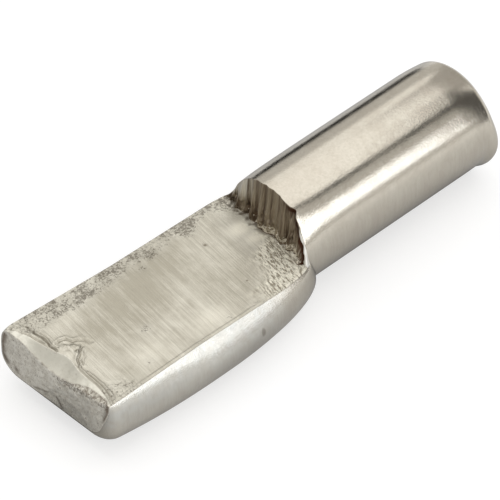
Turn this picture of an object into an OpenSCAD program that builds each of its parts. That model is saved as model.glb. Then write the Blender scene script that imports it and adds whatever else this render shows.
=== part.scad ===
// Shelf support pin: a round steel pin whose other half is pressed into a flat paddle.
// The pin lies along X with its axis on the X axis and its free end at +X. The seat faces up, +Z.
// X = 0 is where the pin runs free of the paddle's shoulder. Behind it the pressed root carries the step wall,
// from which the seat runs back to the sheared tip.

/* [Pin] */
// Diameter of the round pin, made for a hole of the same nominal size
pin_d = 5; // [4.6:0.1:5.6]
// Length of the pin from the shoulder's end to its free end
pin_len = 10.2; // [6:0.1:16]
// Rounding radius at the free end of the pin
pin_end_r = 1.1; // [0.8:0.05:1.6]
// How far the lip that the shear leaves on one side stands past the free end
lip_out = 0.25; // [0.1:0.05:0.5]
// Tilt of the lip against the pin's end, in degrees
lip_tilt = 6; // [2:0.5:8]
// Rounding radius of the lip's rim
lip_r = 0.45; // [0.3:0.05:0.6]
// Direction of the lip round the pin, in degrees below the near side
lip_side = 35; // [0:5:180]

/* [Root] */
// Length of the pressed root, from the step wall to where the shoulder ends under the pin
root_len = 1.0; // [0.8:0.05:1.5]
// How far the pressed root stands proud of the pin
root_swell = 0.02; // [0.02:0.01:0.06]

/* [Seat] */
// Length of the paddle from the step wall to its tip
paddle_len = 11.9; // [10:0.1:18]
// Height of the seat above the pin's axis where it meets the step wall
seat_h = 0.14; // [0:0.02:0.5]
// Slope of the seat, rising toward the tip, in degrees
seat_slope = 1.6; // [0:0.1:2.5]
// Width of the seat behind the flare
seat_w = 5.9; // [5.8:0.1:6.6]
// Width of the seat at the tip
seat_w_tip = 6.2; // [5.6:0.1:6.8]
// Length over which the seat flares out beside the step wall
seat_flare = 2.2; // [1.4:0.1:3]

/* [Belly] */
// Depth of the underside below the pin's axis
belly_depth = 2.6; // [2.56:0.02:2.9]
// Greatest width across the bulged sides
belly_w = 7.0; // [6.8:0.1:8]
// Width across the sides at the tip
belly_w_tip = 6.5; // [6.4:0.1:7]
// Radius of the lower corners along the belly
corner_r = 1.6; // [1.2:0.05:1.8]
// Radius of the lower corners at the tip
corner_r_tip = 1.0; // [0.8:0.05:1.3]
// Length of the curved shoulder, from the pin to the full belly
shoulder_len = 6; // [4:0.1:7]
// Angle in plan by which the shoulder starts askew to the pin, in degrees
shoulder_skew = 8; // [0:0.5:9]
// How far the shoulder starts ahead of the step wall, beside the pin
shoulder_lead = 0.25; // [0.1:0.05:0.5]
// Length over which the underside comes down to its flat sole
sole_run = 2.5; // [1.5:0.1:4]
// Rise of the underside at the tip
toe_rise = 0.55; // [0:0.05:0.7]
// Length over which the underside rises
toe_len = 5.4; // [3:0.1:6]

/* [Sheared tip] */
// Height by which the sheared edge rolls up under the tip
roll_h = 0.26; // [0.1:0.02:0.6]
// Width by which the sheared edge draws in on the near side of the tip
roll_near = 0.9; // [0.1:0.05:1]
// Width by which the sheared edge draws in on the far side of the tip
roll_far = 0; // [0:0.05:1]
// Length of the rolled edge
roll_len = 0.5; // [0.3:0.05:1]
// Radius of the scoop across the tip's upper edge
scoop_r = 5; // [3:0.1:8]
// Angle of the scoop below the seat, in degrees
scoop_angle = 41; // [30:1:55]
// Distance that the scoop reaches in from the tip
scoop_in = 0.65; // [0.3:0.05:1]
// Sideways offset of the scoop from the middle of the tip
scoop_shift = 0.75; // [-1:0.05:1]

/* [Step wall] */
// Angle in plan by which the step wall lies askew to the pin, in degrees
step_skew = 5.5; // [0:0.5:6]
// Number of die flutes down the step wall
flutes = 11; // [5:1:15]
// Width of each flute
flute_w = 0.26; // [0.1:0.02:0.26]
// Depth of each flute
flute_depth = 0.05; // [0.02:0.01:0.08]
// Width of wall kept plain at each side of the flutes
flute_margin = 0.35; // [0.2:0.05:0.6]

/* [Hidden] */

pin_r = pin_d / 2;
root_r = pin_r - 0.1;       // the shoulder starts this large, inside the pin
over = 0.1;                 // how far the uncut sides run past the seat and the tip
blend_h = 0.55;             // height above the seat at which the shoulder has blended into the pin
bury = 0.5;                 // length of pin buried in the root, and of root buried in the paddle
root_facets = 96;           // sides of the pressed root
loft_len = paddle_len + over;
side_steps = 7;             // points up each side, round each corner and along half the bottom
corner_steps = 11;
bottom_steps = 5;
shoulder_steps = 18;        // stations round the shoulder, along the belly and round the rolled edge
belly_steps = 9;
roll_steps = 6;

function mix(a, b, t) = a + (b - a) * t;
function seat_z(s) = seat_h + s * tan(seat_slope);
function toe(s) = min(1, max(0, (s - paddle_len + toe_len) / toe_len));

// Share of the rolled edge reached at distance s: a curve that steepens toward the tip
function roll(s) =
    let (u = min(1, max(0, (s - paddle_len + roll_len) / roll_len)))
    1 - sqrt(1 - u * u);

// Share of a curve of the given length reached at distance s: a quarter ellipse from the shoulder's start
function swell(s, length) =
    let (u = min(1, (s + shoulder_lead) / length))
    sqrt(1 - pow(1 - u, 2));

// Sizes of the section at distance s from the step wall: half width, corner radius, depth and seat half width
function half_w(s) = mix(mix(root_r, belly_w / 2, swell(s, shoulder_len)), belly_w_tip / 2, toe(s));
function corner(s) = mix(mix(root_r, corner_r, swell(s, shoulder_len)), corner_r_tip, toe(s));
function depth(s) = mix(root_r, belly_depth, swell(s, sole_run)) - toe_rise * pow(toe(s), 2);
function seat_half(s) = mix(mix(root_r, seat_w / 2, swell(s, seat_flare)), seat_w_tip / 2, toe(s));

// Half section at distance s, as [y, z]: the blend up the pin's side above the seat, then down the side and
// round the corner to the middle
function half_section(s) =
    let (w = half_w(s), r = corner(s), zc = r - depth(s), zs = seat_z(s), draw = w - seat_half(s))
    concat(
        [[sqrt(pow(root_r, 2) - pow(seat_h + blend_h, 2)), zs + blend_h]],
        [for (i = [0 : side_steps])
            let (z = mix(zs + over, zc, i / side_steps), t = (z - zc) / (zs - zc))
            [w - draw * t * t, z]],
        [for (i = [1 : corner_steps])
            let (a = 90 * i / corner_steps)
            [w - r + r * cos(a), zc - r * sin(a)]],
        [for (i = [1 : bottom_steps])
            [(w - r) * (1 - i / bottom_steps), zc - r]]);

// Station s of the loft: the section with its rolled edge, leaning under the pin near the shoulder
function station(s) =
    let (half = half_section(s),
         n = len(half),
         ring = concat(half, [for (i = [n - 2 : -1 : 0]) [-half[i][0], half[i][1]]]),
         zs = seat_z(s),
         full = zs + depth(s),
         fade = 1 - min(1, s / paddle_len),
         lean = fade * root_len / (seat_h + pin_r),
         skew = fade * tan(shoulder_skew))
    [for (p = ring)
        let (below = roll(s) * max(0, zs - p[1]) / full,
             draw = (p[0] > 0 ? roll_far : roll_near) / (belly_w_tip / 2))
        [-s + lean * (zs - p[1]) + skew * p[0],
         p[0] * (1 - draw * below),
         p[1] + roll_h * below]];

// Distances of the stations: close together at the root, where the shoulder is steep, and at the rolled edge
root_stations = [for (i = [0 : shoulder_steps]) shoulder_len * (1 - cos(90 * i / shoulder_steps)) - shoulder_lead];
belly_end = paddle_len - roll_len;
belly_stations = [for (i = [1 : belly_steps]) mix(shoulder_len - shoulder_lead, belly_end, i / belly_steps)];
roll_stations = [for (i = [1 : roll_steps]) belly_end + roll_len * sin(90 * i / roll_steps)];
stations = concat(root_stations, belly_stations, roll_stations, [loft_len]);

// Skin through the stations, closed at both ends
module loft() {
    rings = [for (s = stations) station(s)];
    n = len(rings[0]);
    last = len(rings) - 1;
    polyhedron(
        points = [for (ring = rings) each ring],
        faces = concat(
            [[for (j = [0 : n - 1]) j]],
            [for (i = [0 : last - 1]) for (j = [0 : n - 1])
                let (k = (j + 1) % n)
                each [[i * n + j, (i + 1) * n + j, (i + 1) * n + k], [i * n + j, (i + 1) * n + k, i * n + k]]],
            [[for (j = [n - 1 : -1 : 0]) last * n + j]]),
        convexity = 4);
}

// Disc of radius r and thickness h on the XY plane, its upper edge rounded to radius e
module rounded_disc(r, h, e) {
    rotate_extrude($fn = 96) {
        square([r, h - e]);
        square([r - e, h]);
        translate([r - e, h - e])
            intersection() {
                circle(e, $fn = 64);
                square(e);
            }
    }
}

// Round pin with its rounded free end, buried at the other end in the root
module pin() {
    translate([-bury, 0, 0])
        rotate([0, 90, 0])
            rounded_disc(pin_r, bury + pin_len, pin_end_r);
}

// Pressed root: the rod on each side of the step wall, swollen by the press
module root() {
    r = pin_r + root_swell;
    turn = 360 / root_facets;
    translate([-root_len - 2 * bury, 0, 0])
        rotate([90, 0, 90])
            linear_extrude(height = root_len + 2 * bury)
                polygon([for (i = [0 : root_facets - 1]) [r * cos(i * turn), r * sin(i * turn)]]);
}

// Lip on one side of the free end: a round slug, tilted and set to that side, that stands out of the end
module end_lip() {
    slug_r = pin_r - 0.6;
    slug_h = 0.9;
    rotate([lip_side - 90, 0, 0])
        translate([pin_len + lip_out - pin_r * sin(lip_tilt), 0, slug_r + 0.04 - pin_r])
            rotate([0, 90 - lip_tilt, 0])
                translate([0, 0, -slug_h])
                    rounded_disc(slug_r, slug_h, lip_r);
}

// Space that the press die leaves: over the whole seat, up to the step wall with its upright flutes
module die() {
    span = pin_d - 2 * flute_margin;
    flute_r = (pow(flute_w / 2, 2) + pow(flute_depth, 2)) / (2 * flute_depth);
    translate([0, 0, seat_h])
        rotate([0, seat_slope, 0])
            linear_extrude(height = pin_d)
                rotate(-step_skew) {
                    translate([-2 * loft_len, -belly_w])
                        square([2 * loft_len, 2 * belly_w]);
                    for (i = [0 : flutes - 1])
                        translate([flute_depth - flute_r, mix(-span / 2, span / 2, (i + 0.5) / flutes)])
                            circle(flute_r, $fn = 48);
                }
}

// Everything past the tip, and the scoop that the shear leaves across its upper edge
module tip_cutter() {
    translate([-2 * loft_len - paddle_len, -belly_w, -pin_d])
        cube([2 * loft_len, 2 * belly_w, 2 * pin_d]);
    translate([scoop_in - paddle_len, scoop_shift, seat_z(paddle_len - scoop_in)])
        rotate([0, 90 - scoop_angle, 0])
            translate([-scoop_r, 0, 0])
                cylinder(h = 2 * paddle_len, r = scoop_r, center = true, $fn = 128);
}

module support_pin() {
    color("#c9c4b4") {
        difference() {
            union() {
                pin();
                root();
                translate([-root_len, 0, 0])
                    loft();
            }
            translate([-root_len, 0, 0]) {
                die();
                tip_cutter();
            }
        }
        end_lip();
    }
}

support_pin();
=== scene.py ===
import math

import bpy
import numpy as np
from mathutils import Matrix, Vector


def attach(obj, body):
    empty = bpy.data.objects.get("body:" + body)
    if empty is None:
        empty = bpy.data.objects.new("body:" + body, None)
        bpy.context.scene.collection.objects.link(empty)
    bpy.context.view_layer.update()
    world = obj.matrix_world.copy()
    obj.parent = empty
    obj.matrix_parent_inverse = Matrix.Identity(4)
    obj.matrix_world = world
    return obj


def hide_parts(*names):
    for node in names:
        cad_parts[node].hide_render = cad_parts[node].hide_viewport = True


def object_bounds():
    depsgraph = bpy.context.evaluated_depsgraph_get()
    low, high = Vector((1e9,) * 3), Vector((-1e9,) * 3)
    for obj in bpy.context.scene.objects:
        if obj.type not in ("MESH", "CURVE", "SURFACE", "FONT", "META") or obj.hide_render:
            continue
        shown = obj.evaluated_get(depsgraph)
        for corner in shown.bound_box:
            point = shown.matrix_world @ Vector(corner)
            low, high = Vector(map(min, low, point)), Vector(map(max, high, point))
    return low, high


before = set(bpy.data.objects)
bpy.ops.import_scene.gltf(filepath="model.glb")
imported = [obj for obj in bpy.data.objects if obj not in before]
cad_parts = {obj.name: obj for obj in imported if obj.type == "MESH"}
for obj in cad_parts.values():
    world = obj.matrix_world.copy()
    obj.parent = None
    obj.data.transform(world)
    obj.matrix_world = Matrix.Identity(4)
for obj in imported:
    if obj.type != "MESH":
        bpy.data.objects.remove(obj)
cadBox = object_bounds()
print("frame loaded, solid's box", [tuple(round(c, 5) for c in corner) for corner in cadBox])


def placed(name, data):  # new object in the scene
    obj = bpy.data.objects.new(name, data)
    bpy.context.scene.collection.objects.link(obj)
    return obj


def mixed(a, b, t):  # a where t is 0, b where it is 1
    return a + (b - a) * t


def clipped(x):
    return np.clip(x, 0, 1)


def smooth(low, high, x):  # 0 below low, 1 above high, an S between
    t = clipped((x - low) / (high - low))
    return t * t * (3 - 2 * t)


def bell(x, centre, width):  # 1 at the centre, falling off either side
    return np.exp(-(((x - centre) / width) ** 2))


def patchNoise(x, y, seed):
    # heights drawn once for the corners of unit cells, eased from corner to corner inside each cell, 0 to 1
    heights = np.random.default_rng(seed).random((64, 64))
    i, j = np.floor(x).astype(int), np.floor(y).astype(int)
    u, v = x - i, y - j
    u, v = u * u * (3 - 2 * u), v * v * (3 - 2 * v)
    left = mixed(heights[i % 64, j % 64], heights[i % 64, (j + 1) % 64], v)
    right = mixed(heights[(i + 1) % 64, j % 64], heights[(i + 1) % 64, (j + 1) % 64], v)
    return mixed(left, right, u)


def lineDistance(x, y, line):
    # distance from each point to a chain of straight pieces, and how far along it the nearest spot is, 0 to 1
    best, share = np.full(np.shape(x), 1e9), np.zeros(np.shape(x))
    steps = [math.dist(a, b) for a, b in zip(line, line[1:])]
    done = 0.0
    for (ax, ay), (bx, by), step in zip(line, line[1:], steps):
        t = clipped(((x - ax) * (bx - ax) + (y - ay) * (by - ay)) / step**2)
        d = np.hypot(x - ax - t * (bx - ax), y - ay - t * (by - ay))
        share = np.where(d < best, (done + t * step) / sum(steps), share)
        best = np.minimum(best, d)
        done += step
    return best, share


# The pressed form, in millimetres: X runs from the step wall (0) to the free end, the tip is at -length.
pin = {
    "radius": 2.5,
    "end": 11.31,  # from the step wall to the middle of the free end
    "shoulderGap": 1.0,  # from the step wall to the row's own origin
    "softStart": 9.2,  # a slight taper begins here, and how much it takes off the radius
    "softDrop": 0.18,
    "nearDraw": 0.09,  # how far the skin draws in beside the wall, and how fast that fades along the pin
    "nearDrawFade": 0.5,
    "farDraw": 0.07,
    "farDrawFade": 0.9,
    "roundLong": 0.61,  # the free end's rounding, along the pin and across it
    "roundAcross": 1.59,
    "lipLong": 0.69,  # the same on the sheared lip, near lower side of the free end
    "lipAcross": 0.9,
    "lipReach": 0.14,
    "lipSwell": 0.19,
}
paddle = {
    "length": 11.9,
    "seatHeight": 0.14,
    "seatSlope": 1.6,
    "seatWidth": 5.9,
    "seatWidthTip": 6.2,
    "seatFlare": 2.2,
    "farFlareLead": 0.62,  # the far shoulder starts this much earlier than the near one
    "farCorner": 0.1,  # rounding off of the tip's far corner
    "bellyDepth": 2.6,
    "bellyWidth": 7.14,
    "bellyWidthTip": 6.6,
    "edgeSlope": 0.85,  # how far the sides run out per unit of fall right below the seat's edge
    "cornerRadius": 1.74,
    "cornerRadiusTip": 1.2,
    "cornerRadiusFar": 0.95,  # the same on the far side
    "shoulderLength": 6.0,
    "shoulderSkew": 8.0,
    "shoulderLead": 0.25,
    "soleRun": 2.5,
    "toeRise": 0.6,
    "toeLength": 5.4,
    "rollHeight": 0.3,
    "rollNear": 0.98,
    "rollFar": 0.0,
    "rollLength": 0.5,
    "blend": 0.1,  # soft joint between paddle and pin
}
columns = {"upper": 196, "lower": 98}
# how many rings each stretch has, from the end face to the free end
rings = {"face": 24, "scoop": 16, "tip": 44, "seat": 42, "foot": 62, "wall": 34, "root": 18, "pin": 16,
         "end": 52, "cap": 10}
# where the stretches from the tip on end: over the seat, and under the belly as far as the root
ringEnds = {"seat": [-10.3, -2.9, 0], "belly": [-10.5, -3.1, -0.7, 0.3, 1.4]}
faceCentre = -0.7  # height of the point on which the end face's rings close


def swell(s, length, lead=0.0):  # quarter ellipse from the shoulder's start
    u = clipped((s + paddle["shoulderLead"] + lead) / length)
    return np.sqrt(1 - (1 - u) ** 2)


def seatZ(s):  # height of the seat, a straight slope
    return paddle["seatHeight"] + s * math.tan(math.radians(paddle["seatSlope"]))


def toeShare(s):  # 0 up to the toe, then evenly up to 1 at the tip
    return clipped((s - paddle["length"] + paddle["toeLength"]) / paddle["toeLength"])


def seatHalf(s, y):
    # the seat's half width: a quarter ellipse out from the pin, then evenly to the tip, less its far corner
    far = smooth(0, 2, y)
    grown = swell(s, paddle["seatFlare"], paddle["farFlareLead"] * far)
    wide = mixed(pin["radius"] - 0.1, paddle["seatWidth"] / 2 - 0.06 * far, grown)
    cut = paddle["farCorner"] * far * clipped((s - paddle["length"] + 0.45) / 0.45) ** 2
    return mixed(wide, paddle["seatWidthTip"] / 2, toeShare(s)) - cut


def stationOf(x, y, z):
    # distance s behind the step wall of the section through a point: sections lean and lie askew
    s = -x
    for _ in range(4):
        fade = 1 - np.clip(s / paddle["length"], -0.1, 1)
        lean = fade * pin["shoulderGap"] / (paddle["seatHeight"] + pin["radius"])
        s = -x + lean * (seatZ(s) - z) + fade * math.tan(math.radians(paddle["shoulderSkew"])) * y
    return s


def sectionDistance(x, y, z):
    # rough signed distance to the paddle's section: flat seat, bulging sides, round corners, flat sole
    s = stationOf(x, y, z)
    root = pin["radius"] - 0.1
    toe = toeShare(s)
    grown = swell(s, paddle["shoulderLength"])
    w = mixed(mixed(root, paddle["bellyWidth"] / 2, grown), paddle["bellyWidthTip"] / 2, toe)
    rTip = mixed(paddle["cornerRadiusTip"], paddle["cornerRadiusFar"], smooth(-0.5, 0.5, y))
    r = mixed(mixed(root, paddle["cornerRadius"], grown), rTip, toe)
    d = mixed(root, paddle["bellyDepth"], swell(s, paddle["soleRun"])) - paddle["toeRise"] * toe**2
    u = clipped((s - paddle["length"] + paddle["rollLength"]) / paddle["rollLength"])
    roll = 1 - np.sqrt(1 - u**2)  # the tip's lower edge rolls up and draws in
    r = r * (1 - 0.5 * roll * smooth(0.5, -0.5, y))
    zs = seatZ(s)
    zc = r - d
    lift = paddle["rollHeight"] * roll / (zs + d)
    flat = np.where(z < zs, (z - lift * zs) / (1 - lift), z)
    below = roll * np.maximum(0, zs - flat) / (zs + d)
    draw = np.where(y > 0, paddle["rollFar"], paddle["rollNear"]) / (paddle["bellyWidthTip"] / 2)
    wide = np.abs(y) / (1 - draw * below)
    half = seatHalf(s, y)
    power = np.clip(paddle["edgeSlope"] * (zs - zc) / np.maximum(w - half, 0.05), 1.4, 6)
    side = w - (w - half) * np.clip((flat - zc) / (zs - zc), 0, 1.2) ** power
    pinY = np.sqrt(np.maximum(root**2 - flat**2, 0.01))
    ear = (half - math.sqrt(root**2 - 0.02)) * np.exp(-((np.maximum(flat - zs, 0) / 0.43) ** 1.5))
    above = np.maximum(wide - pinY - ear, flat - 1.5)
    corner = np.hypot(np.maximum(wide - (w - r), 0), zc - flat) - r
    sides = np.where(flat > zs, above, wide - side)
    return np.where(flat > zc, sides, np.where(wide > w - r, corner, -flat - d))


def bodyRadius(x, angle):
    # distance from the pin's axis to the skin, by halving the stretch in which the skin must lie
    x = x + 0 * angle
    low, high = np.full(x.shape, 0.5), np.full(x.shape, 5.0)
    c, s = np.cos(angle), np.sin(angle)
    for _ in range(26):
        middle = (low + high) / 2
        a = sectionDistance(x, middle * c, middle * s)
        b = middle - pin["radius"] + np.maximum(0, -x - 1.2)
        h = clipped(0.5 + 0.5 * (b - a) / paddle["blend"])
        inside = mixed(b, a, h) - paddle["blend"] * h * (1 - h) < 0
        low, high = np.where(inside, middle, low), np.where(inside, high, middle)
    return (low + high) / 2


# The step wall, the tip's torn edge and the marks on the seat, as (x, y) or (y, value) points in millimetres.
marks = {
    "wallBase": [(-2.7, -0.38), (-2.1, -0.5), (-1.5, -0.33), (-0.8, -0.24), (0.0, -0.23), (0.8, -0.14),
                 (1.5, 0.0), (2.7, 0.12)],
    "nib": (-1.35, 0.2, 0.16),  # tooth on the wall's upper edge: y, reach, width
    # y, width, depth
    "flutes": [(2.1, 0.05, 0.03), (1.72, 0.06, 0.05), (1.3, 0.06, 0.06), (0.78, 0.11, 0.09),
               (0.25, 0.07, 0.08), (-0.18, 0.11, 0.08), (-0.6, 0.05, 0.05), (-1.06, 0.11, 0.08),
               (-1.44, 0.08, 0.05), (-1.9, 0.06, 0.03)],
    "crease": [(-11.3, 2.78), (-11.18, 2.47), (-11.2, 1.91), (-11.17, 1.55), (-11.27, 1.05), (-11.24, 0.62)],
    "creaseHigh": [(-11.05, 2.3), (-11.02, 1.8), (-10.98, 1.45), (-11.08, 1.1), (-11.1, 0.8)],
    "fold": [(-11.62, 2.5), (-11.47, 2.08), (-11.42, 1.66), (-11.36, 1.3)],
    "curl": [(-11.1, 0.78), (-10.92, 0.99), (-10.71, 1.02), (-10.48, 0.94), (-10.42, 0.65), (-10.21, 0.59),
             (-10.04, 0.39), (-9.9, 0.1)],
    "wrinkle": [(-10.2, 0.2), (-10.38, 0.15), (-10.61, -0.03), (-10.84, -0.14), (-11.0, -0.26),
                (-11.09, -0.43), (-11.24, -0.6)],
    "wrinkleNear": [(-10.35, -0.1), (-10.55, -0.22), (-10.75, -0.42), (-11.0, -0.6)],
    # line, width, depth, how much dirt and painted crease shade
    "grooves": [("crease", 0.036, 0.09, 0.9), ("creaseHigh", 0.035, 0.03, 0.2), ("fold", 0.03, 0.04, 0.5),
                ("curl", 0.045, 0.05, 0.25), ("wrinkle", 0.036, 0.08, 0.6),
                ("wrinkleNear", 0.035, 0.03, 0.15)],
    # x, y, size, height
    "lumps": [(-10.86, 0.63, 0.14, 0.09), (-10.61, 0.38, 0.15, 0.11), (-10.72, 0.02, 0.13, 0.08),
              (-11.0, 0.3, 0.16, 0.05)],
    "beads": [("beadOuter", 0.07), ("beadInner", 0.05)],  # line, height
    # x, y, size
    "blemishes": [(-7.73, -0.79, 0.34), (-8.9, -2.3, 0.25), (-4.9, -2.6, 0.22), (-5.4, 1.9, 0.3)],
    "dots": [(-2.57, 1.17, 0.075), (-2.8, -1.54, 0.045)],
    # x, y, size, how much darker: painted shade, and painted light where below zero
    "shades": [(-6.3, 1.2, 1.1, 0.7), (-4.2, 2.2, 0.9, 0.4), (-8.6, 0.6, 1.0, 0.4), (-3.1, -0.9, 0.7, 0.2),
               (-0.75, 0.9, 0.35, -1.2), (-0.6, 0.1, 0.32, -1.2), (-0.75, -0.6, 0.28, -1.1),
               (-5.4, -2.2, 0.6, -0.3), (-8.6, -1.9, 0.6, -0.2), (-9.5, 1.6, 0.5, -0.25)],
    # line, how soiled, width: lines on the end face, which are (y, z) points
    "faceMarks": [("seamNear", 1.1, 0.1), ("seamFar", 1.2, 0.13), ("scratch", 1.1, 0.055),
                  ("arc", 0.7, 0.045), ("stain", 1.1, 0.1)],
    "seamNear": [(-3.04, 0.55), (-3.0, 0.13), (-2.85, -0.37), (-2.71, -0.98), (-2.58, -1.32)],
    "seamFar": [(3.07, 0.2), (3.23, -0.47), (3.2, -0.95), (2.97, -1.25)],
    "scratch": [(0.03, -1.25), (-0.12, -1.4), (-0.28, -1.59)],
    "stain": [(2.43, -1.3), (2.36, -1.44)],
    "arc": [(1.44, -1.63), (1.0, -1.45), (0.59, -1.31)],
    "beadOuter": [(-11.1, -0.4), (-11.24, -0.75), (-11.3, -1.2), (-11.33, -1.74), (-11.39, -2.19),
                  (-11.52, -2.6), (-11.72, -3.06)],
    "beadInner": [(-11.16, -0.95), (-11.16, -1.4), (-11.2, -1.9), (-11.27, -2.4), (-11.4, -2.81)],
}

# Heights and depths of the small relief, in millimetres.
relief = {
    "pits": 0.03,
    "pitFibres": 0.015,
    "tornFibres": 0.03,
    "footScales": 0.04,
    "lap": 0.03,  # torn lap along the far part of the tip, and how much it varies
    "lapVaries": 0.05,
    "nearBead": 0.022,
    "waves": 0.008,
    "footRagged": 0.26,  # sideways, along the wall's foot: broad teeth and fine ones
    "footTeeth": 0.1,
    "topRagged": 0.05,
    "wallRough": 0.09,
    "wallChips": 0.14,
    "rim": 0.03,
    "burr": 0.012,
    "faceDents": 0.03,  # broad and fine unevenness of the end face
    "faceDentsFine": 0.02,
}


def fromPoints(y, name):
    # smooth curve through the listed points: cubic pieces whose slopes are those between their neighbours
    ys, values = (np.array(part, float) for part in zip(*marks[name]))
    slopes = np.gradient(values, ys)
    i = np.clip(np.searchsorted(ys, y) - 1, 0, len(ys) - 2)
    gap = ys[i + 1] - ys[i]
    t = clipped((y - ys[i]) / gap)
    a, b = values[i], values[i + 1]
    bulge = t * (1 - t) * ((1 - t) * (slopes[i] * gap - (b - a)) + t * (b - a - slopes[i + 1] * gap))
    return mixed(a, b, t) + bulge


def wallBase(y):  # foot of the step wall on the seat, a little ragged
    broad, fine = patchNoise(y * 4.5, 0, 61) - 0.5, patchNoise(y * 9, 0, 62) - 0.5
    return fromPoints(y, "wallBase") + relief["footRagged"] * broad + relief["footTeeth"] * fine


def scoopReach(y):  # how far in from the tip the scoop's upper edge lies
    return (0.48 - 0.01 * y + 0.27 * bell(y, 0.1, 0.65)) * np.clip(1 - ((y + 0.1) / 3.12) ** 4, 0.04, 1)


def tipLean(y):  # how far back the end face leans at its upper border, toward the near corner
    return 0.22 * smooth(-0.8, -1.7, y) * smooth(-3.1, -2.7, y)


def scoopDrop(y):  # how far below the seat the scoop leaves the end face
    return 0.02 + 0.42 * np.exp(-((np.abs(y - 0.3) / 1.45) ** 3))


def fluteCut(y):
    # sum of upright grooves across the step wall, 0 to about 0.09 deep
    return sum(depth * bell(y, centre, width) for centre, width, depth in marks["flutes"])


def edgeDraw(angle):  # how far the pin's skin is drawn in at the wall, on the near side
    side = 180 - np.degrees(angle)
    return pin["nearDraw"] * smooth(8, 36, side) * (1 - smooth(40, 62, side))


def farDraw(x, r, angle):  # the same on the far side, fading along the pin and below it
    y, z = r * np.cos(angle), r * np.sin(angle)
    fade = np.exp(-np.maximum(x, 0) / pin["farDrawFade"])
    return pin["farDraw"] * fade * smooth(-0.4, 0, x) * smooth(1.0, 2.0, y) * smooth(-1.8, -0.3, z)


def wallTop(y):
    # upper edge of the wall on the pin: a shallow cubic, the tooth, and the grooves running out through it
    nibY, nibReach, nibWidth = marks["nib"]
    edge = 0.02 + 0.02 * y + 0.015 * np.clip(y, -2.6, 2.6) ** 3
    ragged = relief["topRagged"] * (patchNoise(y * 4 + 9, 0, 23) - 0.5)
    return edge + nibReach * bell(y, nibY, nibWidth) + 0.3 * fluteCut(y) + ragged


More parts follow.
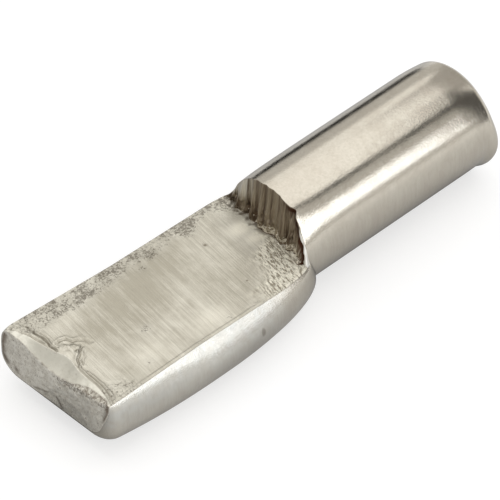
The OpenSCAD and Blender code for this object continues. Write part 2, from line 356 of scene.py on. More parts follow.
def seatRelief(x, y, half):
    # height to add to the seat, and masks for its material: dirt with painted crease shade, pits, torn
    # fibres, painted light and shade, matt areas
    tip = -paddle["length"]
    rise, soilAndShade = np.zeros(x.shape), np.zeros(x.shape)
    wander = 0.07 * (patchNoise(x * 5, y * 5, 51) - 0.5)
    for name, width, depth, dirtAndShade in marks["grooves"]:
        d, share = lineDistance(x + wander, y - wander, marks[name])
        taper = smooth(0, 0.15, share) * mixed(0.45, 1, patchNoise(x * 4, y * 4, 53))
        rise += depth * taper * (0.7 * bell(d, 2.6 * width, 1.6 * width) - bell(d, 0, width))
        # painted shade along the grooves, with some dirt
        soilAndShade += dirtAndShade * taper * bell(d, 0, 1.2 * width)
    for name, height in marks["beads"]:
        d, share = lineDistance(x + 0.4 * wander, y, marks[name])
        rise += height * smooth(0, 0.1, share) * bell(d, 0, 0.045)
        # painted shade: a dark line beside each bead
        soilAndShade += 0.35 * smooth(0, 0.2, share) * bell(d, 0.08, 0.035)
    for a, b, size, height in marks["lumps"]:
        rise += height * bell(np.hypot(x - a, y - b), 0, size) * (0.6 + 0.8 * patchNoise(x * 9, y * 9, 3))
    lap = smooth(tip + 0.8, tip + 0.45, x) * smooth(0.6, 1.2, y) * smooth(3.0, 2.6, y)
    rise += lap * (relief["lap"] + relief["lapVaries"] * patchNoise(x * 9, y * 2.5, 55))
    # scales and pits: thick at the step wall's foot and both shoulder corners, thinner down the far edge
    fromWall = wallBase(y) - x
    inside = half - np.abs(y)
    wear = patchNoise(x * 0.9, y * 0.9, 11)
    foot = smooth(0.5, 0.02, fromWall - 0.3 * wear * smooth(1.5, 0, y))
    torn = smooth(2.8, 1.3, fromWall - 0.5 * wear + 0.9 * smooth(-2.6, -0.9, y) + 2 * smooth(-0.9, 0.4, y))
    farFoot = smooth(1.3, 0.5, np.hypot(fromWall * 0.75, inside) - 0.5 * wear) * smooth(0, 1, y)
    farEdge = smooth(0.9, 0.15, half - y - 0.8 * wear * smooth(-1.5, -3, x))
    nearTip = smooth(1.6, 0.4, np.hypot((x + 11.3) * 0.8, (y + 2.9) * 1.4) - 0.4 * wear)
    nearEdge = 0.75 * smooth(0.6, 0.1, inside) * (y < 0) * smooth(0.45, 0.75, wear)
    spots = 1.1 * sum(bell(np.hypot(x - a, (y - b) * 1.5), 0, size) for a, b, size in marks["blemishes"])
    pitted = clipped(np.maximum.reduce([farFoot, farEdge, nearTip * 0.85, nearEdge, spots]))
    bent = x + 0.25 * patchNoise(x * 2.5, y * 2, 63) - 0.1 * y
    fibres = patchNoise(bent * 13, y * 5 + x, 5) + 0.6 * patchNoise(bent * 6, y * 10, 7) - 0.8
    fine = patchNoise(x * 15 + y * 4, y * 11, 9) - 0.5
    pits = pitted * (relief["pits"] * fine + relief["pitFibres"] * fibres)
    rise += pits + torn * relief["tornFibres"] * fibres + foot * relief["footScales"] * fine
    # darker patches along the wall's foot, mostly on the far side
    dark = smooth(0.2, 0.0, fromWall - 0.3 * patchNoise(y * 5, 0, 65))
    dark = dark * smooth(0.2, 0.5, patchNoise(x * 6, y * 6, 67))
    soilAndShade += dark * smooth(2.5, 1.6, y) * mixed(0.1, 0.85, smooth(-1.2, 0.2, y))
    soilAndShade += sum(bell(np.hypot(x - a, y - b), 0, size) for a, b, size in marks["dots"])
    # fine bead along the near edge, and long shallow waves
    waves = relief["waves"] * (patchNoise(x * 0.8, y * 0.35, 21) - 0.5)
    rise += relief["nearBead"] * bell(inside, 0.1, 0.05) * (y < 0) + waves
    rise *= smooth(0, 0.03, inside)
    # painted light and shade: broad lighter and darker areas of the brushed face
    shade = sum(more * bell(np.hypot((x - a) / 1.6, y - b), 0, size) for a, b, size, more in marks["shades"])
    matt = clipped(torn + 0.5 * pitted + smooth(2.2, 0.6, fromWall) * smooth(2.4, 1.6, np.abs(y)))
    return rise, {"soilAndShade": clipped(soilAndShade), "pitted": pitted, "torn": torn, "shade": shade, "matt": matt}


def run(a, b, n):  # n even steps from a, left out, to b
    return a + (b - a) * np.linspace(0, 1, n + 1)[1:]


def runs(ends):  # the stretches from the tip on, each in even steps between its ends
    return [run(a, b, rings[name]) for a, b, name in zip(ends, ends[1:], list(rings)[2:])]


def pressedForm():
    # rings of points from the tip to the free end's start: over the seat and wall first, then under the belly
    length = paddle["length"]
    across = np.linspace(0, 1, columns["upper"] + 1)
    under = np.linspace(0, 1, columns["lower"] + 2)[1:-1]
    under = under - 0.11 * np.sin(2 * np.pi * under)  # closer together beside the seat's edges
    # stations of each ring under the belly and over the seat, and shares up the wall and up the scoop
    rootEnd, rollEnd = ringEnds["belly"][-1], -length + paddle["rollLength"]
    curve = 1 - np.cos(np.radians(90 * np.linspace(0, 1, rings["scoop"] + 1)))
    onPin = run(rootEnd, pin["softStart"], rings["pin"])
    lowX = [-length + paddle["rollLength"] * curve, *runs([rollEnd, *ringEnds["belly"]]), onPin]
    onSeat = [np.full(rings["scoop"] + 1, -length), *runs([-length, *ringEnds["seat"]])]
    upX = onSeat + [np.zeros(rings["wall"]), rootEnd * run(0, 1, rings["root"]) ** 1.5, onPin]
    before = np.zeros(sum(len(part) for part in onSeat))
    climb = [before, run(0, 1, rings["wall"]), np.ones(rings["root"] + rings["pin"])]
    scoop = [np.linspace(0, 1, rings["scoop"] + 1), np.ones(sum(len(part) for part in upX[1:]))]
    lowX, upX, climb, scoop = (np.concatenate(part)[:, None] for part in (lowX, upX, climb, scoop))

    # columns over the seat: their places across, shifted along to meet the torn tip and the slanting wall
    far = np.cos(np.pi * across)[None, :]
    ySeat = 2.95 * far + 0 * upX
    for _ in range(4):
        reach = scoopReach(ySeat)
        xSeat = upX + reach * (1 - smooth(-length, -length + 2.4, upX))
        xSeat = xSeat + wallBase(ySeat) * smooth(-2.6, 0, upX)
        ySeat = seatHalf(stationOf(xSeat, ySeat, seatZ(-xSeat)), ySeat) * far
    half = seatHalf(stationOf(xSeat, ySeat, seatZ(-xSeat)), ySeat)
    rise, seatMasks = seatRelief(xSeat, ySeat, half)
    atTip = smooth(0, 0.12, xSeat + length - reach)
    zSeat = seatZ(-xSeat) + rise * np.maximum(atTip, 0.75 * (scoop >= 1))
    drop = scoopDrop(ySeat)
    lipZ = zSeat[rings["scoop"]][None, :]
    lean = np.minimum(tipLean(ySeat), 0.8 * reach)
    xTop = np.where(scoop < 1, -length + lean + (reach - lean) * scoop, xSeat)
    hollow = (1 - scoop) ** 1.2 + 0.12 * np.sin(np.pi * scoop)
    zTop = np.where(scoop < 1, lipZ - drop * hollow, zSeat)

    # the same columns on the pin, starting at the wall's upper edge
    start = math.atan2(paddle["seatHeight"], 2.8)
    turn = mixed(start, np.pi - start, across)[None, :]
    edgeX = wallTop(pin["radius"] * np.cos(turn))
    xPin = upX + edgeX * (1 - smooth(0, rootEnd, upX))
    rPin = bodyRadius(xPin, turn)
    rPin = rPin - farDraw(upX, rPin, turn) - edgeDraw(turn) * np.exp(-upX / pin["nearDrawFade"])
    burr = bell(upX, 0.03, 0.07) * smooth(-0.9, -1.7, rPin * np.cos(turn))
    rPin = rPin + relief["burr"] * (burr * smooth(0.1, 0.6, rPin * np.sin(turn)))
    yPin, zPin = rPin * np.cos(turn), rPin * np.sin(turn)
    yWall, zWall = mixed(ySeat, yPin, climb), mixed(zSeat, zPin, climb)
    inWall = smooth(0, 0.12, climb) * smooth(0, 0.35, np.minimum(yWall + 2.6, 2.6 - yWall))
    rough = patchNoise(yWall * 10, zWall * 0.9, 31) + 0.7 * patchNoise(yWall * 5 + 7, zWall * 0.9, 35) - 0.85
    # how far in from the pin's skin
    fromSkin = pin["radius"] - edgeDraw(np.arctan2(zWall, yWall)) - np.hypot(yWall, zWall)
    nearRim = smooth(-0.7, -1.3, yWall)
    chips = patchNoise(yWall * 7, zWall * 7, 33) - 0.5
    chips = chips * smooth(0.55, 0.1, climb - 0.25 * patchNoise(yWall * 3, 0, 37))
    cuts = 0.5 * fluteCut(yWall) * (1 - climb) + relief["wallRough"] * rough * (1 - climb**4)
    onRim = smooth(-1.6, -2.1, yWall) * smooth(0.08, 0.04, fromSkin)
    rim = relief["rim"] * onRim * (0.4 + 1.2 * patchNoise(zWall * 6, 0, 39))
    xWall = mixed(wallBase(ySeat), xPin, climb) + inWall * (cuts + relief["wallChips"] * chips)
    xWall = xWall - rim * smooth(0, 0.2, climb)
    xTop = np.where(climb > 0, np.where(climb < 1, xWall, xPin), xTop)
    yTop = np.where(climb > 0, yWall, ySeat)
    zTop = np.where(climb > 0, zWall, zTop)

    # columns under the belly: rays from the pin's axis between the seat's two edges
    nearEdge = np.arctan2(zTop[:, -1:], yTop[:, -1:])
    farEdge = np.arctan2(zTop[:, :1], yTop[:, :1]) + 2 * np.pi
    angle = mixed(nearEdge, farEdge, under[None, :])
    bend = smooth(-9, -1, lowX)
    skew = 0.1 * bend * (1 - smooth(1.3, 4, lowX))
    tilt = 0.38 * bend * (1 - smooth(1.3, 5, lowX))
    xFree = lowX + skew * 2.7 * np.cos(angle) + tilt * (0.14 - 2.5 * np.sin(angle))
    xEdge = np.where(under[None, :] < 0.5, xTop[:, -1:], xTop[:, :1])
    xLow = mixed(xEdge, xFree, smooth(0, 0.16, np.minimum(under, 1 - under))[None, :])
    rLow = bodyRadius(xLow, angle)
    rLow = rLow - farDraw(xLow, rLow, angle)
    x = np.hstack([xTop, xLow])
    y = np.hstack([yTop, rLow * np.cos(angle)])
    z = np.hstack([zTop, rLow * np.sin(angle)])

    # masks for the materials: those of the seat, then the wall, the scoop and the belly
    onSeat, onWall = (climb <= 0) & (scoop > 0.9), (climb > 0) & (climb < 1)
    masks = {key: np.where(onSeat, mask, 0) for key, mask in seatMasks.items()}
    border = nearRim * smooth(0.5, 0.2, fromSkin)
    # darker in the flutes, along the near border and low on the wall
    wallDarker = clipped(0.5 * fluteCut(yWall) / 0.11 + 0.5 * border + 0.45 * smooth(0.6, 0.1, climb))
    pale = smooth(0.7, 1.5, yWall) * smooth(0.2, 0.7, climb)
    ragged = smooth(1.2, -0.5, yWall) * smooth(0.5, 0.1, climb)  # torn bits standing before the wall's foot
    wallDarker = wallDarker * (1 - 0.35 * pale) * (1 - onRim) * (1 - 0.4 * ragged)
    masks["soilAndShade"] = np.where(onWall, wallDarker, masks["soilAndShade"])
    wallPits = np.clip(smooth(0.35, 0.05, climb) + 0.8 * ragged, 0, 1.6)
    masks["pitted"] = np.where(onWall, wallPits, masks["pitted"])
    scree = smooth(-1.1, -1.8, yWall) * smooth(-2.5, -2.3, yWall) * smooth(0.5, 0.2, climb)
    scree = scree * patchNoise(yWall * 6, zWall * 5, 77)  # loose light bits at the near end of the foot
    masks["soilAndShade"] = masks["soilAndShade"] * (1 - 0.8 * scree * onWall)
    # above 2 on the rim for its painted highlight; loose light bits at the foot
    masks["pale"] = np.where(onWall, pale + 3 * onRim + 0.9 * scree, 0)
    masks["torn"] = np.where(onWall, nearRim * smooth(0.2, 0.14, fromSkin) * (1 - onRim), masks["torn"])
    masks["facet"] = (scoop < 1) * smooth(0, 0.12, scoop) * (0.7 + 0.3 * patchNoise(ySeat * 5, scoop * 3, 73))
    # darker in patches along the scoop's edge with the end face
    scoopEdgeDarker = 0.45 * smooth(0.12, 0.03, scoop) * patchNoise(ySeat * 8, 0, 75)
    masks["soilAndShade"] = masks["soilAndShade"] + (scoop < 1) * scoopEdgeDarker
    # painted highlight along the top of the belly's near side, carried by the pale mask
    paintedHighlight = smooth(0.2, 0.04, under[None, :]) * smooth(-1.5, -4, lowX)
    blank = np.zeros(xLow.shape)
    low = {
        # painted shade over the middle of the belly's near side
        "shade": 0.3 * bell(lowX, -4.3, 2.3) * smooth(0.32, 0.12, under[None, :]),
        "pale": paintedHighlight * (0.5 + 0.6 * patchNoise(xLow * 5, angle * 14, 71)),
    }
    return x, y, z, {key: np.hstack([mask, low.get(key, blank)]) for key, mask in masks.items()}


def endRings(x0, angle):
    # free end: plain pin, then a quarter ellipse round to a shallow dome, squarer on the sheared lip
    # x = last - long + long sin(psi), r = radius - taper - across (1 - cos(psi)) + swelling
    t = np.linspace(0, 1, rings["end"] + 1)[1:, None]
    side = np.degrees(np.arctan2(np.sin(angle), -np.cos(angle)))[None, :]  # 0 toward the near side, 90 on top
    lip = smooth(-100, -60, side) * (1 - smooth(-30, 55, side))
    long = mixed(pin["roundLong"], pin["lipLong"], lip)
    across = mixed(pin["roundAcross"], pin["lipAcross"], lip)
    last = pin["end"] - 0.08 + pin["lipReach"] * lip
    plain = clipped(t / 0.35)
    psi = np.radians(90) * clipped((t - 0.35) / 0.65)
    x = mixed(x0[None, :], last - long, plain) + long * np.sin(psi)
    late = clipped((x - pin["softStart"]) / (last - pin["softStart"]))
    taper = pin["softDrop"] * (1 - 0.7 * lip) * late**2
    swollen = smooth(-100, -60, side) * (1 - smooth(-15, 24, side))
    swelling = pin["lipSwell"] * swollen * smooth(-1.1, -0.45, x - last) * np.cos(psi) ** 0.5
    r = pin["radius"] - taper - across * (1 - np.cos(psi)) + swelling
    inward = np.linspace(1, 0, rings["cap"] + 2)[1:-1, None]
    xCap = pin["end"] + (x[-1:] - pin["end"]) * inward**1.6
    x, r = np.vstack([x, xCap]), np.vstack([r, r[-1:] * inward])
    return x, r * np.cos(angle), r * np.sin(angle)


def meshFromRings(name, x, y, z, firstPole, lastPole, attributes):
    # closed skin from rings of points: quads between rings, a fan at either pole
    m, n = x.shape
    points = np.vstack([np.stack([x, y, z], -1).reshape(-1, 3), firstPole, lastPole])
    points = points - [pin["shoulderGap"], 0, 0]
    i, j = np.meshgrid(np.arange(m - 1), np.arange(n), indexing="ij")
    k = (j + 1) % n
    quads = np.stack([i * n + j, i * n + k, (i + 1) * n + k, (i + 1) * n + j], -1).reshape(-1, 4)
    j = np.arange(n)
    k = (j + 1) % n
    firstFan = np.stack([np.full(n, m * n), k, j], -1)
    lastFan = np.stack([np.full(n, m * n + 1), (m - 1) * n + j, (m - 1) * n + k], -1)
    fans = np.vstack([firstFan, lastFan])
    mesh = bpy.data.meshes.new(name)
    corners = np.concatenate([quads.ravel(), fans.ravel()]).astype(np.int32)
    starts = [np.arange(len(quads)) * 4, len(quads) * 4 + np.arange(2 * n) * 3]
    starts = np.concatenate(starts).astype(np.int32)
    mesh.vertices.add(len(points))
    mesh.vertices.foreach_set("co", (points * 0.001).astype(np.float32).ravel())
    mesh.loops.add(len(corners))
    mesh.loops.foreach_set("vertex_index", corners)
    mesh.polygons.add(len(starts))
    mesh.polygons.foreach_set("loop_start", starts)
    mesh.update(calc_edges=True)
    mesh.polygons.foreach_set("use_smooth", np.ones(len(starts), bool))
    for key, values in attributes.items():
        layer = mesh.attributes.new(key, "FLOAT", "POINT")
        layer.data.foreach_set("value", np.concatenate([values.ravel(), [0, 0]]).astype(np.float32))
    return placed(name, mesh)


def supportPinSkin():  # rings of the end face, the pressed form and the free end as one mesh
    x, y, z, masks = pressedForm()
    n = x.shape[1]
    xe, ye, ze = endRings(x[-1], np.arctan2(z[-1], y[-1]))
    c = np.linspace(0, 1, rings["face"] + 1)[1:-1, None] ** 0.8  # end face: rings closing to one point
    yf, zf = c * y[:1], faceCentre + (z[:1] - faceCentre) * c
    dents = relief["faceDents"] * (patchNoise(yf * 3, zf * 3, 41) - 0.5)
    dents = dents + relief["faceDentsFine"] * (patchNoise(yf * 9, zf * 9, 43) - 0.5)
    xf = -paddle["length"] + dents * smooth(1, 0.9, c) + (x[:1] + paddle["length"]) * smooth(0.8, 1, c) ** 1.5
    x, y, z = np.vstack([xf, x, xe]), np.vstack([yf, y, ye]), np.vstack([zf, z, ze])
    faceSoil = 0
    for name, amount, width in marks["faceMarks"]:
        faceSoil = faceSoil + amount * bell(lineDistance(yf, zf, marks[name])[0], 0, width)
    below = seatZ(paddle["length"]) - scoopDrop(yf) - 0.12 - zf
    under = smooth(0.45, 0.1, np.abs(below)) * smooth(0.6, -0.6, yf)
    faceMasks = {"soilAndShade": clipped(faceSoil), "pitted": under}
    masks = {key: np.vstack([faceMasks.get(key, 0 * xf), mask, 0 * xe]) for key, mask in masks.items()}
    masks["pressed"] = smooth(0.4, -1.5, x)
    poles = [-paddle["length"], 0, faceCentre], [pin["end"], 0, 0]
    skin = meshFromRings("supportPinPlated", x, y, z, *poles, masks)
    # which material each face takes: 0 plated skin, 1 seat, 2 step wall, 3 sheared tip
    faceRings = rings["face"] - 1
    zone = np.zeros((x.shape[0] - 1, n), np.int32)
    up = columns["upper"]
    zone[:faceRings] = 3
    a = faceRings + rings["scoop"]
    zone[faceRings:a, :up] = 3
    b = a + rings["tip"] + rings["seat"] + rings["foot"]
    zone[a:b, :up] = 1
    zone[b : b + rings["wall"], :up] = 2
    index = np.concatenate([zone.ravel(), np.full(n, 3), np.zeros(n)]).astype(np.int32)
    skin.data.polygons.foreach_set("material_index", index)
    return skin


supportPin = supportPinSkin()
print("pressed form made,", sum(len(p.vertices) - 2 for p in supportPin.data.polygons), "triangles")


def isSocket(value):
    return isinstance(value, bpy.types.NodeSocket)


def giveInputs(node, inputs):  # each input as a value, or as the socket that feeds it
    for key, value in inputs.items():
        if isSocket(value):
            node.id_data.links.new(value, node.inputs[key])
        else:
            node.inputs[key].default_value = value


def addNode(tree, kind, inputs=None, **settings):  # one node with its plain properties set
    node = tree.nodes.new("ShaderNode" + kind)
    for key, value in settings.items():
        setattr(node, key, value)
    giveInputs(node, inputs or {})
    return node


def nodeAfter(kind, inputs, **settings):  # the same, in the tree of the sockets that feed it
    tree = next(value.id_data for value in inputs.values() if isSocket(value))
    return addNode(tree, kind, inputs, **settings)


def newGroup(name, inputs, outputs):
    # node group with named sockets: inputs are (name, kind, start value), outputs are (name, kind)
    tree = bpy.data.node_groups.new(name, "ShaderNodeTree")
    for label, kind, start in inputs:
        socket = tree.interface.new_socket(label, in_out="INPUT", socket_type="NodeSocket" + kind)
        socket.default_value = start
    for label, kind in outputs:
        tree.interface.new_socket(label, in_out="OUTPUT", socket_type="NodeSocket" + kind)
    return tree, tree.nodes.new("NodeGroupInput").outputs, tree.nodes.new("NodeGroupOutput")


def vectors(operation, inputs, output=0):
    return nodeAfter("VectorMath", inputs, operation=operation).outputs[output]


def millimetres(tree):
    place = addNode(tree, "TexCoord").outputs["Object"]
    return vectors("MULTIPLY", {0: place, 1: (1000, 1000, 1000)})


def ramp(value, low, high):  # 0 below low, 1 above high
    inputs = {"Value": value, "From Min": low, "From Max": high}
    return nodeAfter("MapRange", inputs, interpolation_type="SMOOTHSTEP").outputs[0]


def noiseOf(place, **inputs):  # a noise texture, its sockets named with capitals left out
    named = {key.capitalize(): value for key, value in inputs.items()}
    return nodeAfter("TexNoise", {"Vector": place, **named}).outputs[0]


def calc(operation, a, b=0.0):
    return nodeAfter("Math", {0: a, 1: b}, operation=operation).outputs[0]


def times(a, b):
    return calc("MULTIPLY", a, b)


def plus(first, *others):  # sum from left to right
    for other in others:
        first = calc("ADD", first, other)
    return first


def minus(a, b):
    return calc("SUBTRACT", a, b)


def opaque(colour):
    return (*colour, 1)


def tint(share, a, b):  # colour a where share is 0, colour b where it is 1
    a, b = (c if isSocket(c) else opaque(c) for c in (a, b))
    return nodeAfter("Mix", {0: share, 6: a, 7: b}, data_type="RGBA").outputs[2]


def makeStreaks():
    # lines made by stretching a noise: Scale is lines per millimetre along each axis, Turn radians about Z
    inputs = [("Scale", "Vector", (8, 0.5, 1)), ("Turn", "Float", 0.0)]
    tree, given, put = newGroup("streaks", inputs, [("Lines", "Float"), ("Fine", "Float")])
    turn = addNode(tree, "CombineXYZ", {"Z": given["Turn"]}).outputs[0]
    turned = {"Vector": millimetres(tree), "Rotation": turn}
    place = addNode(tree, "Mapping", turned, vector_type="TEXTURE").outputs[0]
    stretched = vectors("MULTIPLY", {0: place, 1: given["Scale"]})
    wide = noiseOf(stretched, scale=1, detail=4, roughness=0.72)
    fine = noiseOf(stretched, scale=3.1, detail=3, roughness=0.8)
    giveInputs(put, {"Lines": ramp(wide, 0.3, 0.7), "Fine": ramp(fine, 0.3, 0.7)})
    return tree


def makeGrain():
    # skin of plating: an even orange peel of Grain per millimetre over slow waves of Wave per millimetre
    inputs = [("Grain", "Float", 12), ("Wave", "Float", 1.2), ("Wave Share", "Float", 0.5)]
    tree, given, put = newGroup("grain", inputs, [("Height", "Float")])
    place = millimetres(tree)
    grain = noiseOf(place, scale=given["Grain"], detail=2, roughness=0.7)
    wave = noiseOf(place, scale=given["Wave"], detail=2, roughness=0.5)
    giveInputs(put, {"Height": plus(grain, times(times(wave, given["Wave Share"]), 12))})
    return tree


def makeSpecks():
    # pits: spots of a rough noise that show where Density (0 to 1) is high, Size per millimetre
    inputs = [("Size", "Float", 9), ("Density", "Float", 0.5)]
    tree, given, put = newGroup("specks", inputs, [("Mask", "Float"), ("Height", "Float")])
    noise = noiseOf(millimetres(tree), scale=given["Size"], detail=3, roughness=0.75, distortion=0.6)
    edge = minus(0.78, times(given["Density"], 0.34))
    spots = nodeAfter("MapRange", {"Value": noise, "From Min": edge, "From Max": plus(edge, 0.1)})
    height = times(minus(noise, 0.5), given["Density"])
    giveInputs(put, {"Mask": spots.outputs[0], "Height": height})
    return tree


def makeTarnish():
    # slow cloudy change between a clean and a dulled colour
    inputs = [("Clean", "Color", (1, 1, 1, 1)), ("Dull", "Color", (0.5, 0.5, 0.5, 1)), ("Scale", "Float", 1)]
    tree, given, put = newGroup("tarnish", inputs, [("Color", "Color"), ("Mask", "Float")])
    noise = noiseOf(millimetres(tree), scale=given["Scale"], detail=4, roughness=0.62, distortion=0.3)
    mask = ramp(noise, 0.35, 0.68)
    giveInputs(put, {"Mask": mask, "Color": tint(mask, given["Clean"], given["Dull"])})
    return tree


effects = {"streaks": makeStreaks(), "grain": makeGrain(), "specks": makeSpecks(), "tarnish": makeTarnish()}


def effect(tree, name, inputs):
    return addNode(tree, "Group", inputs, node_tree=effects[name]).outputs


def tarnishOf(tree, finish, scale):  # clouds between a finish's clean and dull colours
    inputs = {"Clean": opaque(finish["clean"]), "Dull": opaque(finish["dull"]), "Scale": scale}
    return effect(tree, "tarnish", inputs)


def attributes(tree, *names):
    return [addNode(tree, "Attribute", attribute_name=name).outputs["Fac"] for name in names]


def newMaterial(name, settings=None):  # bare metal unless its settings say otherwise
    material = bpy.data.materials.new(name)
    material.use_nodes = True
    shader = material.node_tree.nodes["Principled BSDF"]
    giveInputs(shader, settings or {"Metallic": 1})
    return material, material.node_tree, shader


def feed(shader, colour, roughness, height, depth):
    # colour, roughness and a bump of that depth in metres into the shader
    bump = nodeAfter("Bump", {"Strength": 1, "Distance": depth, "Height": height}).outputs[0]
    giveInputs(shader, {"Base Color": colour, "Roughness": roughness, "Normal": bump})


plating = {
    "clean": (0.6, 0.56, 0.485),
    "dull": (0.57, 0.525, 0.45),
    "paintedHighlight": (0.66, 0.65, 0.605),  # painted highlight along the top of the paddle's near side
    # painted shade that dims the belly's reflection
    "paintedShade": (0.31, 0.3, 0.28),
    "dirtAndShade": (0.09, 0.06, 0.035),
    "roughness": 0.14,
    "pressedRoughness": 0.2,  # on the paddle's sides
    "peelDepth": 4.2e-6,
    "nickSoilAndShade": (-4.75, -3.4, -0.73),  # small dark spot on the near side: painted shade of a dent, with its soil, in millimetres from the origin
    "nickShape": (6, 2, 3.5),  # 1 over its reach along each axis
}


def platedSkin():
    material, tree, shader = newMaterial("platedSkin")
    cloud = tarnishOf(tree, plating, 0.9)
    pressed, pale, shade = attributes(tree, "pressed", "pale", "shade")
    hair = effect(tree, "streaks", {"Scale": (9, 9, 0.7)})
    specks = effect(tree, "specks", {"Size": 7, "Density": 0.12})
    # painted highlight where pale is high, along the top of the belly's near side
    colour = tint(calc("MINIMUM", pale, 1), cloud["Color"], plating["paintedHighlight"])
    # painted shade where the shade mask is high
    colour = tint(shade, colour, plating["paintedShade"])
    away = vectors("SUBTRACT", {0: millimetres(tree), 1: plating["nickSoilAndShade"]})
    away = vectors("MULTIPLY", {0: away, 1: plating["nickShape"]})
    nickSoilAndShade = ramp(vectors("LENGTH", {0: away}, "Value"), 1, 0.4)
    flaws = calc("MAXIMUM", times(specks["Mask"], 0.35), times(nickSoilAndShade, 0.45))
    flaws = calc("MAXIMUM", times(hair["Lines"], 0.1), flaws)
    colour = tint(flaws, colour, plating["dirtAndShade"])
    sides = {0: pressed, 2: plating["roughness"], 3: plating["pressedRoughness"]}
    roughness = plus(nodeAfter("Mix", sides).outputs[0], times(cloud["Mask"], 0.06))
    grain = effect(tree, "grain", {"Grain": 13, "Wave": 0.9, "Wave Share": 0.08})
    height = plus(grain["Height"], times(times(hair["Fine"], pressed), 0.4))
    feed(shader, colour, roughness, height, plating["peelDepth"])
    return material


seatFinish = {
    "clean": (0.64, 0.61, 0.53),
    "dull": (0.42, 0.39, 0.32),
    # painted light on the seat where the shade is below zero, and the torn fibres' lighter colour
    "bright": (0.89, 0.85, 0.735),
    "pit": (0.12, 0.1, 0.075),
    "fibre": (0.25, 0.21, 0.145),
    "dirtAndShade": (0.1, 0.07, 0.04),
    "roughness": 0.3,
    "brushTurn": -0.13,  # radians about Z, for the brush lines and for the torn fibres
    "fibreTurn": -0.22,
    "brushDepth": 5e-6,
}


def brushedSeat():
    material, tree, shader = newMaterial("brushedSeat")
    cloud = tarnishOf(tree, seatFinish, 1.4)
    brush = effect(tree, "streaks", {"Scale": (10, 0.2, 1), "Turn": seatFinish["brushTurn"]})
    sheen = effect(tree, "streaks", {"Scale": (1.3, 0.4, 1), "Turn": seatFinish["brushTurn"]})
    pitted, soilAndShade, torn, shade, matt = attributes(tree, "pitted", "soilAndShade", "torn", "shade", "matt")
    clumps = times(pitted, plus(0.65, times(cloud["Mask"], 0.4)))
    specks = effect(tree, "specks", {"Size": 9, "Density": plus(clumps, 0.08)})
    fibres = effect(tree, "streaks", {"Scale": (13, 2.8, 1), "Turn": seatFinish["fibreTurn"]})
    # painted shade from the shade mask and painted sheen along broad streaks, over the tarnish clouds
    dulled = plus(times(cloud["Mask"], 0.25), times(sheen["Lines"], 0.45), shade)
    lines = times(plus(brush["Fine"], brush["Lines"]), minus(0.42, times(pitted, 0.3)))
    dulled = minus(plus(dulled, lines), 0.3)
    colour = tint(dulled, seatFinish["clean"], seatFinish["dull"])
    # painted light where the shade is below zero, and the lighter torn fibres
    gleam = calc("MAXIMUM", torn, times(shade, -1))
    colour = tint(calc("MINIMUM", gleam, 0.9), colour, seatFinish["bright"])
    colour = tint(times(specks["Mask"], 0.7), colour, seatFinish["pit"])
    gaps = times(ramp(plus(fibres["Lines"], times(fibres["Fine"], 0.6)), 0.72, 1.12), torn)
    colour = tint(times(gaps, 0.95), colour, seatFinish["fibre"])
    colour = tint(times(soilAndShade, 0.85), colour, seatFinish["dirtAndShade"])
    giveInputs(shader, {"Metallic": minus(1, times(matt, 0.55))})
    roughness = plus(times(brush["Lines"], 0.12), seatFinish["roughness"], times(matt, 0.2))
    ridges = plus(times(brush["Lines"], 0.8), times(brush["Fine"], 0.6))
    height = minus(plus(ridges, times(specks["Height"], 5)), times(gaps, 1.5))
    feed(shader, colour, roughness, height, seatFinish["brushDepth"])
    return material


wallFinish = {
    "bare": (0.36, 0.305, 0.23),
    "pale": (0.76, 0.72, 0.63),
    "oxide": (0.09, 0.06, 0.038),
    "rust": (0.05, 0.022, 0.012),
    # painted highlight along the burr rim by the wall's near border
    "rim": (0.8, 0.78, 0.73),
    "fleck": (0.74, 0.69, 0.59),
    "roughness": 0.42,
    "lineDepth": 1.2e-5,
}


def flutedWall():
    material, tree, shader = newMaterial("flutedWall")
    soilAndShade, pitted, pale, torn = attributes(tree, "soilAndShade", "pitted", "pale", "torn")
    lines = effect(tree, "streaks", {"Scale": (0.5, 5, 0.22)})
    share = plus(times(soilAndShade, 0.5), times(lines["Lines"], 0.4), times(lines["Fine"], 0.3))
    bare = tint(calc("MINIMUM", pale, 1), wallFinish["bare"], wallFinish["pale"])
    colour = tint(ramp(share, 0.15, 0.85), bare, wallFinish["oxide"])
    specks = effect(tree, "specks", {"Size": 6, "Density": times(pitted, 0.6)})
    colour = tint(specks["Mask"], colour, wallFinish["fleck"])
    colour = tint(torn, colour, wallFinish["rust"])
    onRim = calc("MAXIMUM", minus(pale, 1.5), 0)  # pale is above 2 only on the rim, where a painted highlight runs along the burr
    colour = tint(calc("MINIMUM", onRim, 1), colour, wallFinish["rim"])
    height = plus(lines["Lines"], times(lines["Fine"], 0.5))
    roughness = plus(times(lines["Fine"], 0.1), wallFinish["roughness"])
    feed(shader, colour, roughness, height, wallFinish["lineDepth"])
    return material


tipFinish = {
    "facet": (0.68, 0.66, 0.585),
    # the end face's colours, lifted to paint the light that falls on it from the left
    "clean": (0.88, 0.85, 0.77),
    "dull": (0.66, 0.625, 0.55),
    "dirtAndShade": (0.12, 0.075, 0.042),
    "roughness": 0.42,
    "grainDepth": 5e-6,
}


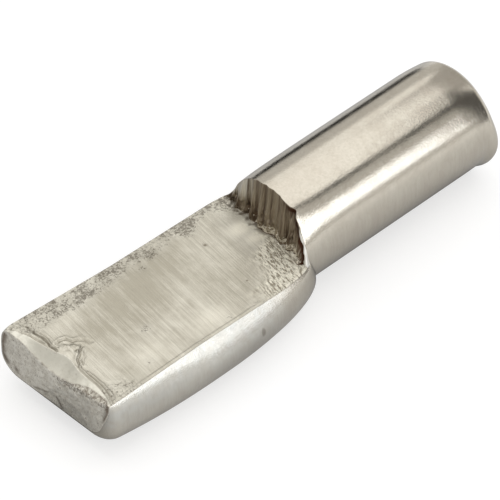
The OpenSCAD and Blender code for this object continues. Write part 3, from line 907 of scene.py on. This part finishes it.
def shearedTip():
    material, tree, shader = newMaterial("shearedTip")
    facet, soilAndShade, pitted = attributes(tree, "facet", "soilAndShade", "pitted")
    cloud = tarnishOf(tree, tipFinish, 5)
    specks = effect(tree, "specks", {"Size": 9, "Density": plus(0.6, times(pitted, 0.35))})
    colour = tint(times(specks["Mask"], 0.68), cloud["Color"], tipFinish["dirtAndShade"])
    colour = tint(facet, colour, tipFinish["facet"])
    colour = tint(times(soilAndShade, 0.8), colour, tipFinish["dirtAndShade"])
    torn = effect(tree, "streaks", {"Scale": (3, 3, 0.8)})
    grain = effect(tree, "grain", {"Grain": 8, "Wave": 2.5, "Wave Share": 0.1})
    roughness = plus(times(cloud["Mask"], 0.1), tipFinish["roughness"])
    height = plus(grain["Height"], torn["Lines"])
    feed(shader, colour, roughness, height, tipFinish["grainDepth"])
    return material


for finish in (platedSkin(), brushedSeat(), flutedWall(), shearedTip()):
    supportPin.data.materials.append(finish)
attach(supportPin, "root")
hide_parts("support_pin")
print("four finishes given to the pin")

studio = {
    "floorColour": (0.85, 0.855, 0.87),
    "floorCamera": (0.45, 0.45, 0.455),  # the floor as the camera sees it, under its glow
    "floorGlow": 0.2,  # in the metal's reflections
    "floorCameraGlow": 0.62,
    "floorReach": 3,  # half the floor's width, in metres
    "worldColour": (0.72, 0.71, 0.68),
    "cardColour": (1, 0.97, 0.93),
}
floorZ = cadBox[0][2]
matt = {"Metallic": 0, "Specular IOR Level": 0}
black = {**matt, "Base Color": (0, 0, 0, 1)}


def staged(name, corners, material):
    mesh = bpy.data.meshes.new(name)
    mesh.from_pydata(corners, [], [(0, 1, 2, 3)])
    mesh.materials.append(material)
    obj = placed(name, mesh)
    return obj


def level(x0, x1, y0, y1, z):  # corners of a level rectangle
    return [(x0, y0, z), (x1, y0, z), (x1, y1, z), (x0, y1, z)]


def endOn(x, *places):  # corners of a sheet square to the X axis
    return [(x, y, z) for y, z in places]


def floorMaterial():
    constants = {**matt, "Roughness": 1, "Emission Color": (1, 1, 1, 1)}
    material, tree, shader = newMaterial("studioFloor", constants)
    path = addNode(tree, "LightPath").outputs
    shown = tint(path["Is Camera Ray"], studio["floorColour"], studio["floorCamera"])
    mirrored = calc("MAXIMUM", path["Is Glossy Ray"], path["Is Transmission Ray"])
    seen = times(path["Is Camera Ray"], studio["floorCameraGlow"])
    glow = plus(times(mirrored, studio["floorGlow"]), seen)
    giveInputs(shader, {"Base Color": shown, "Emission Strength": glow})
    return material


reach = studio["floorReach"]
staged("floor", level(-reach, reach, -reach, reach, floorZ), floorMaterial())

# Overhead softbox with a dimmer far part, and a low near reflector.
lamps = {
    # centre in metres, facing, size, how bright the face looks, with white at 1, and colour
    "softbox": ((0.35, 0.065, 0.5), (0, 0, -1), (0.9, 0.59), 0.72, (1, 1, 1)),
    "softboxFar": ((0.35, 0.535, 0.5), (0, 0, -1), (0.9, 0.35), 0.57, (1, 1, 1)),
    "nearReflector": ((0.096, -0.497, 0.18), (-0.5, 0.84, -0.35), (0.47, 0.19), 1.95, (0.96, 1, 1.07)),
}


def areaLamp(name, centre, facing, size, glow, colour):
    lamp = bpy.data.lights.new(name, "AREA")
    lamp.shape = "RECTANGLE"
    lamp.size, lamp.size_y = size
    lamp.color = colour
    lamp.energy = glow * math.pi * size[0] * size[1]
    obj = placed(name, lamp)
    obj.location = centre
    obj.rotation_euler = Vector(facing).to_track_quat("-Z", "Y").to_euler()


for name, lamp in lamps.items():
    areaLamp(name, *lamp)

# Sheets of even tone that only the metal's reflections show, as glow and corners in metres: the softbox's
# dark front edge, a dark strip on the far side, and what the free end mirrors.
cards = {
    "softboxEdge": (0.02, level(-0.1, 0.8, -0.33, -0.25, 0.5)),
    "farStrip": (0.01, [(-0.02, 0.026, floorZ), (0.0272, 0.026, floorZ), (0.0272, 0.026, 0.005),
                        (-0.02, 0.026, 0.005)]),
    "endStrip": (0.12, endOn(0.03, (-0.0275, -0.002), (-0.0185, 0), (0.001, 0.036), (-0.021, 0.033))),
    "endHaze": (0.5, endOn(0.0299, (-0.035, 0.01), (-0.028, 0.008), (-0.026, 0.022), (-0.033, 0.022))),
    "endCloth": (0.55, endOn(0.0301, (-0.004, 0.008), (0.022, 0.008), (0.022, 0.034), (-0.004, 0.034))),
}


def onlyMirrored(card):
    card.visible_camera = card.visible_diffuse = card.visible_shadow = card.visible_transmission = False


for name, (glow, corners) in cards.items():
    glowing = {"Emission Color": opaque(studio["cardColour"]), "Emission Strength": glow}
    onlyMirrored(staged(name, corners, newMaterial(name + "Cloth", {**black, **glowing})[0]))

floorShade = {
    "stretch": (-13, 10),  # the shade lies round this stretch of the X axis, in millimetres
    "contact": 0.4,  # close to the part: its share, at what distance, how fast it fades, and its most
    "contactAt": 1.3,
    "contactFade": 0.9,
    "contactMost": 0.45,
    "clear": 2.5,  # the wider shades fade from this distance on
    "round": 0.36,
    "roundFade": 16,
    "behind": 0.27,  # on the far side only
    "behindFade": 40,
    "halfSize": (0.08, 0.07),  # half the sheet, and its height over the floor, in metres
    "lift": 0.00003,
}


def shadeCard():
    # sheet just over the floor that only the metal's reflections show; each shade is share exp(-away / fade)
    material, tree, shader = newMaterial("shadeCard", black)
    place = addNode(tree, "SeparateXYZ", {0: millimetres(tree)}).outputs
    first, last = floorShade["stretch"]
    nearest = calc("MINIMUM", calc("MAXIMUM", place["X"], first), last)
    along = calc("POWER", minus(place["X"], nearest), 2)
    away = calc("SQRT", plus(along, calc("POWER", place["Y"], 2)))

    def falling(distance, fade, share):
        return times(calc("EXPONENT", calc("DIVIDE", distance, -floorShade[fade])), share)

    close = falling(minus(away, floorShade["contactAt"]), "contactFade", floorShade["contact"])
    close = calc("MINIMUM", close, floorShade["contactMost"])
    away = calc("MAXIMUM", minus(away, floorShade["clear"]), 0)
    behind = falling(away, "behindFade", times(ramp(place["Y"], 2, 5), floorShade["behind"]))
    shade = plus(falling(away, "roundFade", floorShade["round"]), close, behind)
    giveInputs(shader, {"Alpha": shade})
    x, y = floorShade["halfSize"]
    onlyMirrored(staged("shadeCard", level(-x, x, -y, y, floorZ + floorShade["lift"]), material))


shadeCard()

world = bpy.data.worlds.new("studioWorld")
world.use_nodes = True
seen = addNode(world.node_tree, "LightPath").outputs["Is Camera Ray"]
shown = tint(seen, studio["worldColour"], (1, 1, 1))
giveInputs(world.node_tree.nodes["Background"], {"Color": shown, "Strength": 1})
bpy.context.scene.world = world

view = {
    "azimuth": -44.4,
    "elevation": 43.1,
    "distance": 0.2,  # metres
    "sensor": 36,
    "frame": 500,  # width and height of the picture in pixels, its scale, and where the wall's middle lands
    "pixelsPerMm": 24.363,
    "wallAt": (269.9, 232.9),
}


def placeCamera():
    # looks from the azimuth and elevation; the wall's middle on the axis lands on the given spot of the frame
    a, e = math.radians(view["azimuth"]), math.radians(view["elevation"])
    back = Vector((math.sin(a) * math.cos(e), -math.cos(a) * math.cos(e), math.sin(e)))
    right = Vector((math.cos(a), math.sin(a), 0))
    data = bpy.data.cameras.new("camera")
    data.sensor_width = view["sensor"]
    data.lens = view["sensor"] * view["distance"] * 1000 * view["pixelsPerMm"] / view["frame"]
    data.shift_x = (view["frame"] / 2 - view["wallAt"][0]) / view["frame"]
    data.shift_y = (view["wallAt"][1] - view["frame"] / 2) / view["frame"]
    data.clip_start, data.clip_end = 0.01, 10
    camera = placed("camera", data)
    turned = Matrix((right, back.cross(right), back)).transposed().to_4x4()
    place = Vector((-pin["shoulderGap"] * 0.001, 0, 0)) + back * view["distance"]
    camera.matrix_world = Matrix.Translation(place) @ turned
    bpy.context.scene.camera = camera


placeCamera()
bpy.context.scene.view_settings.view_transform = "Standard"
print("floor, lamps and camera placed")
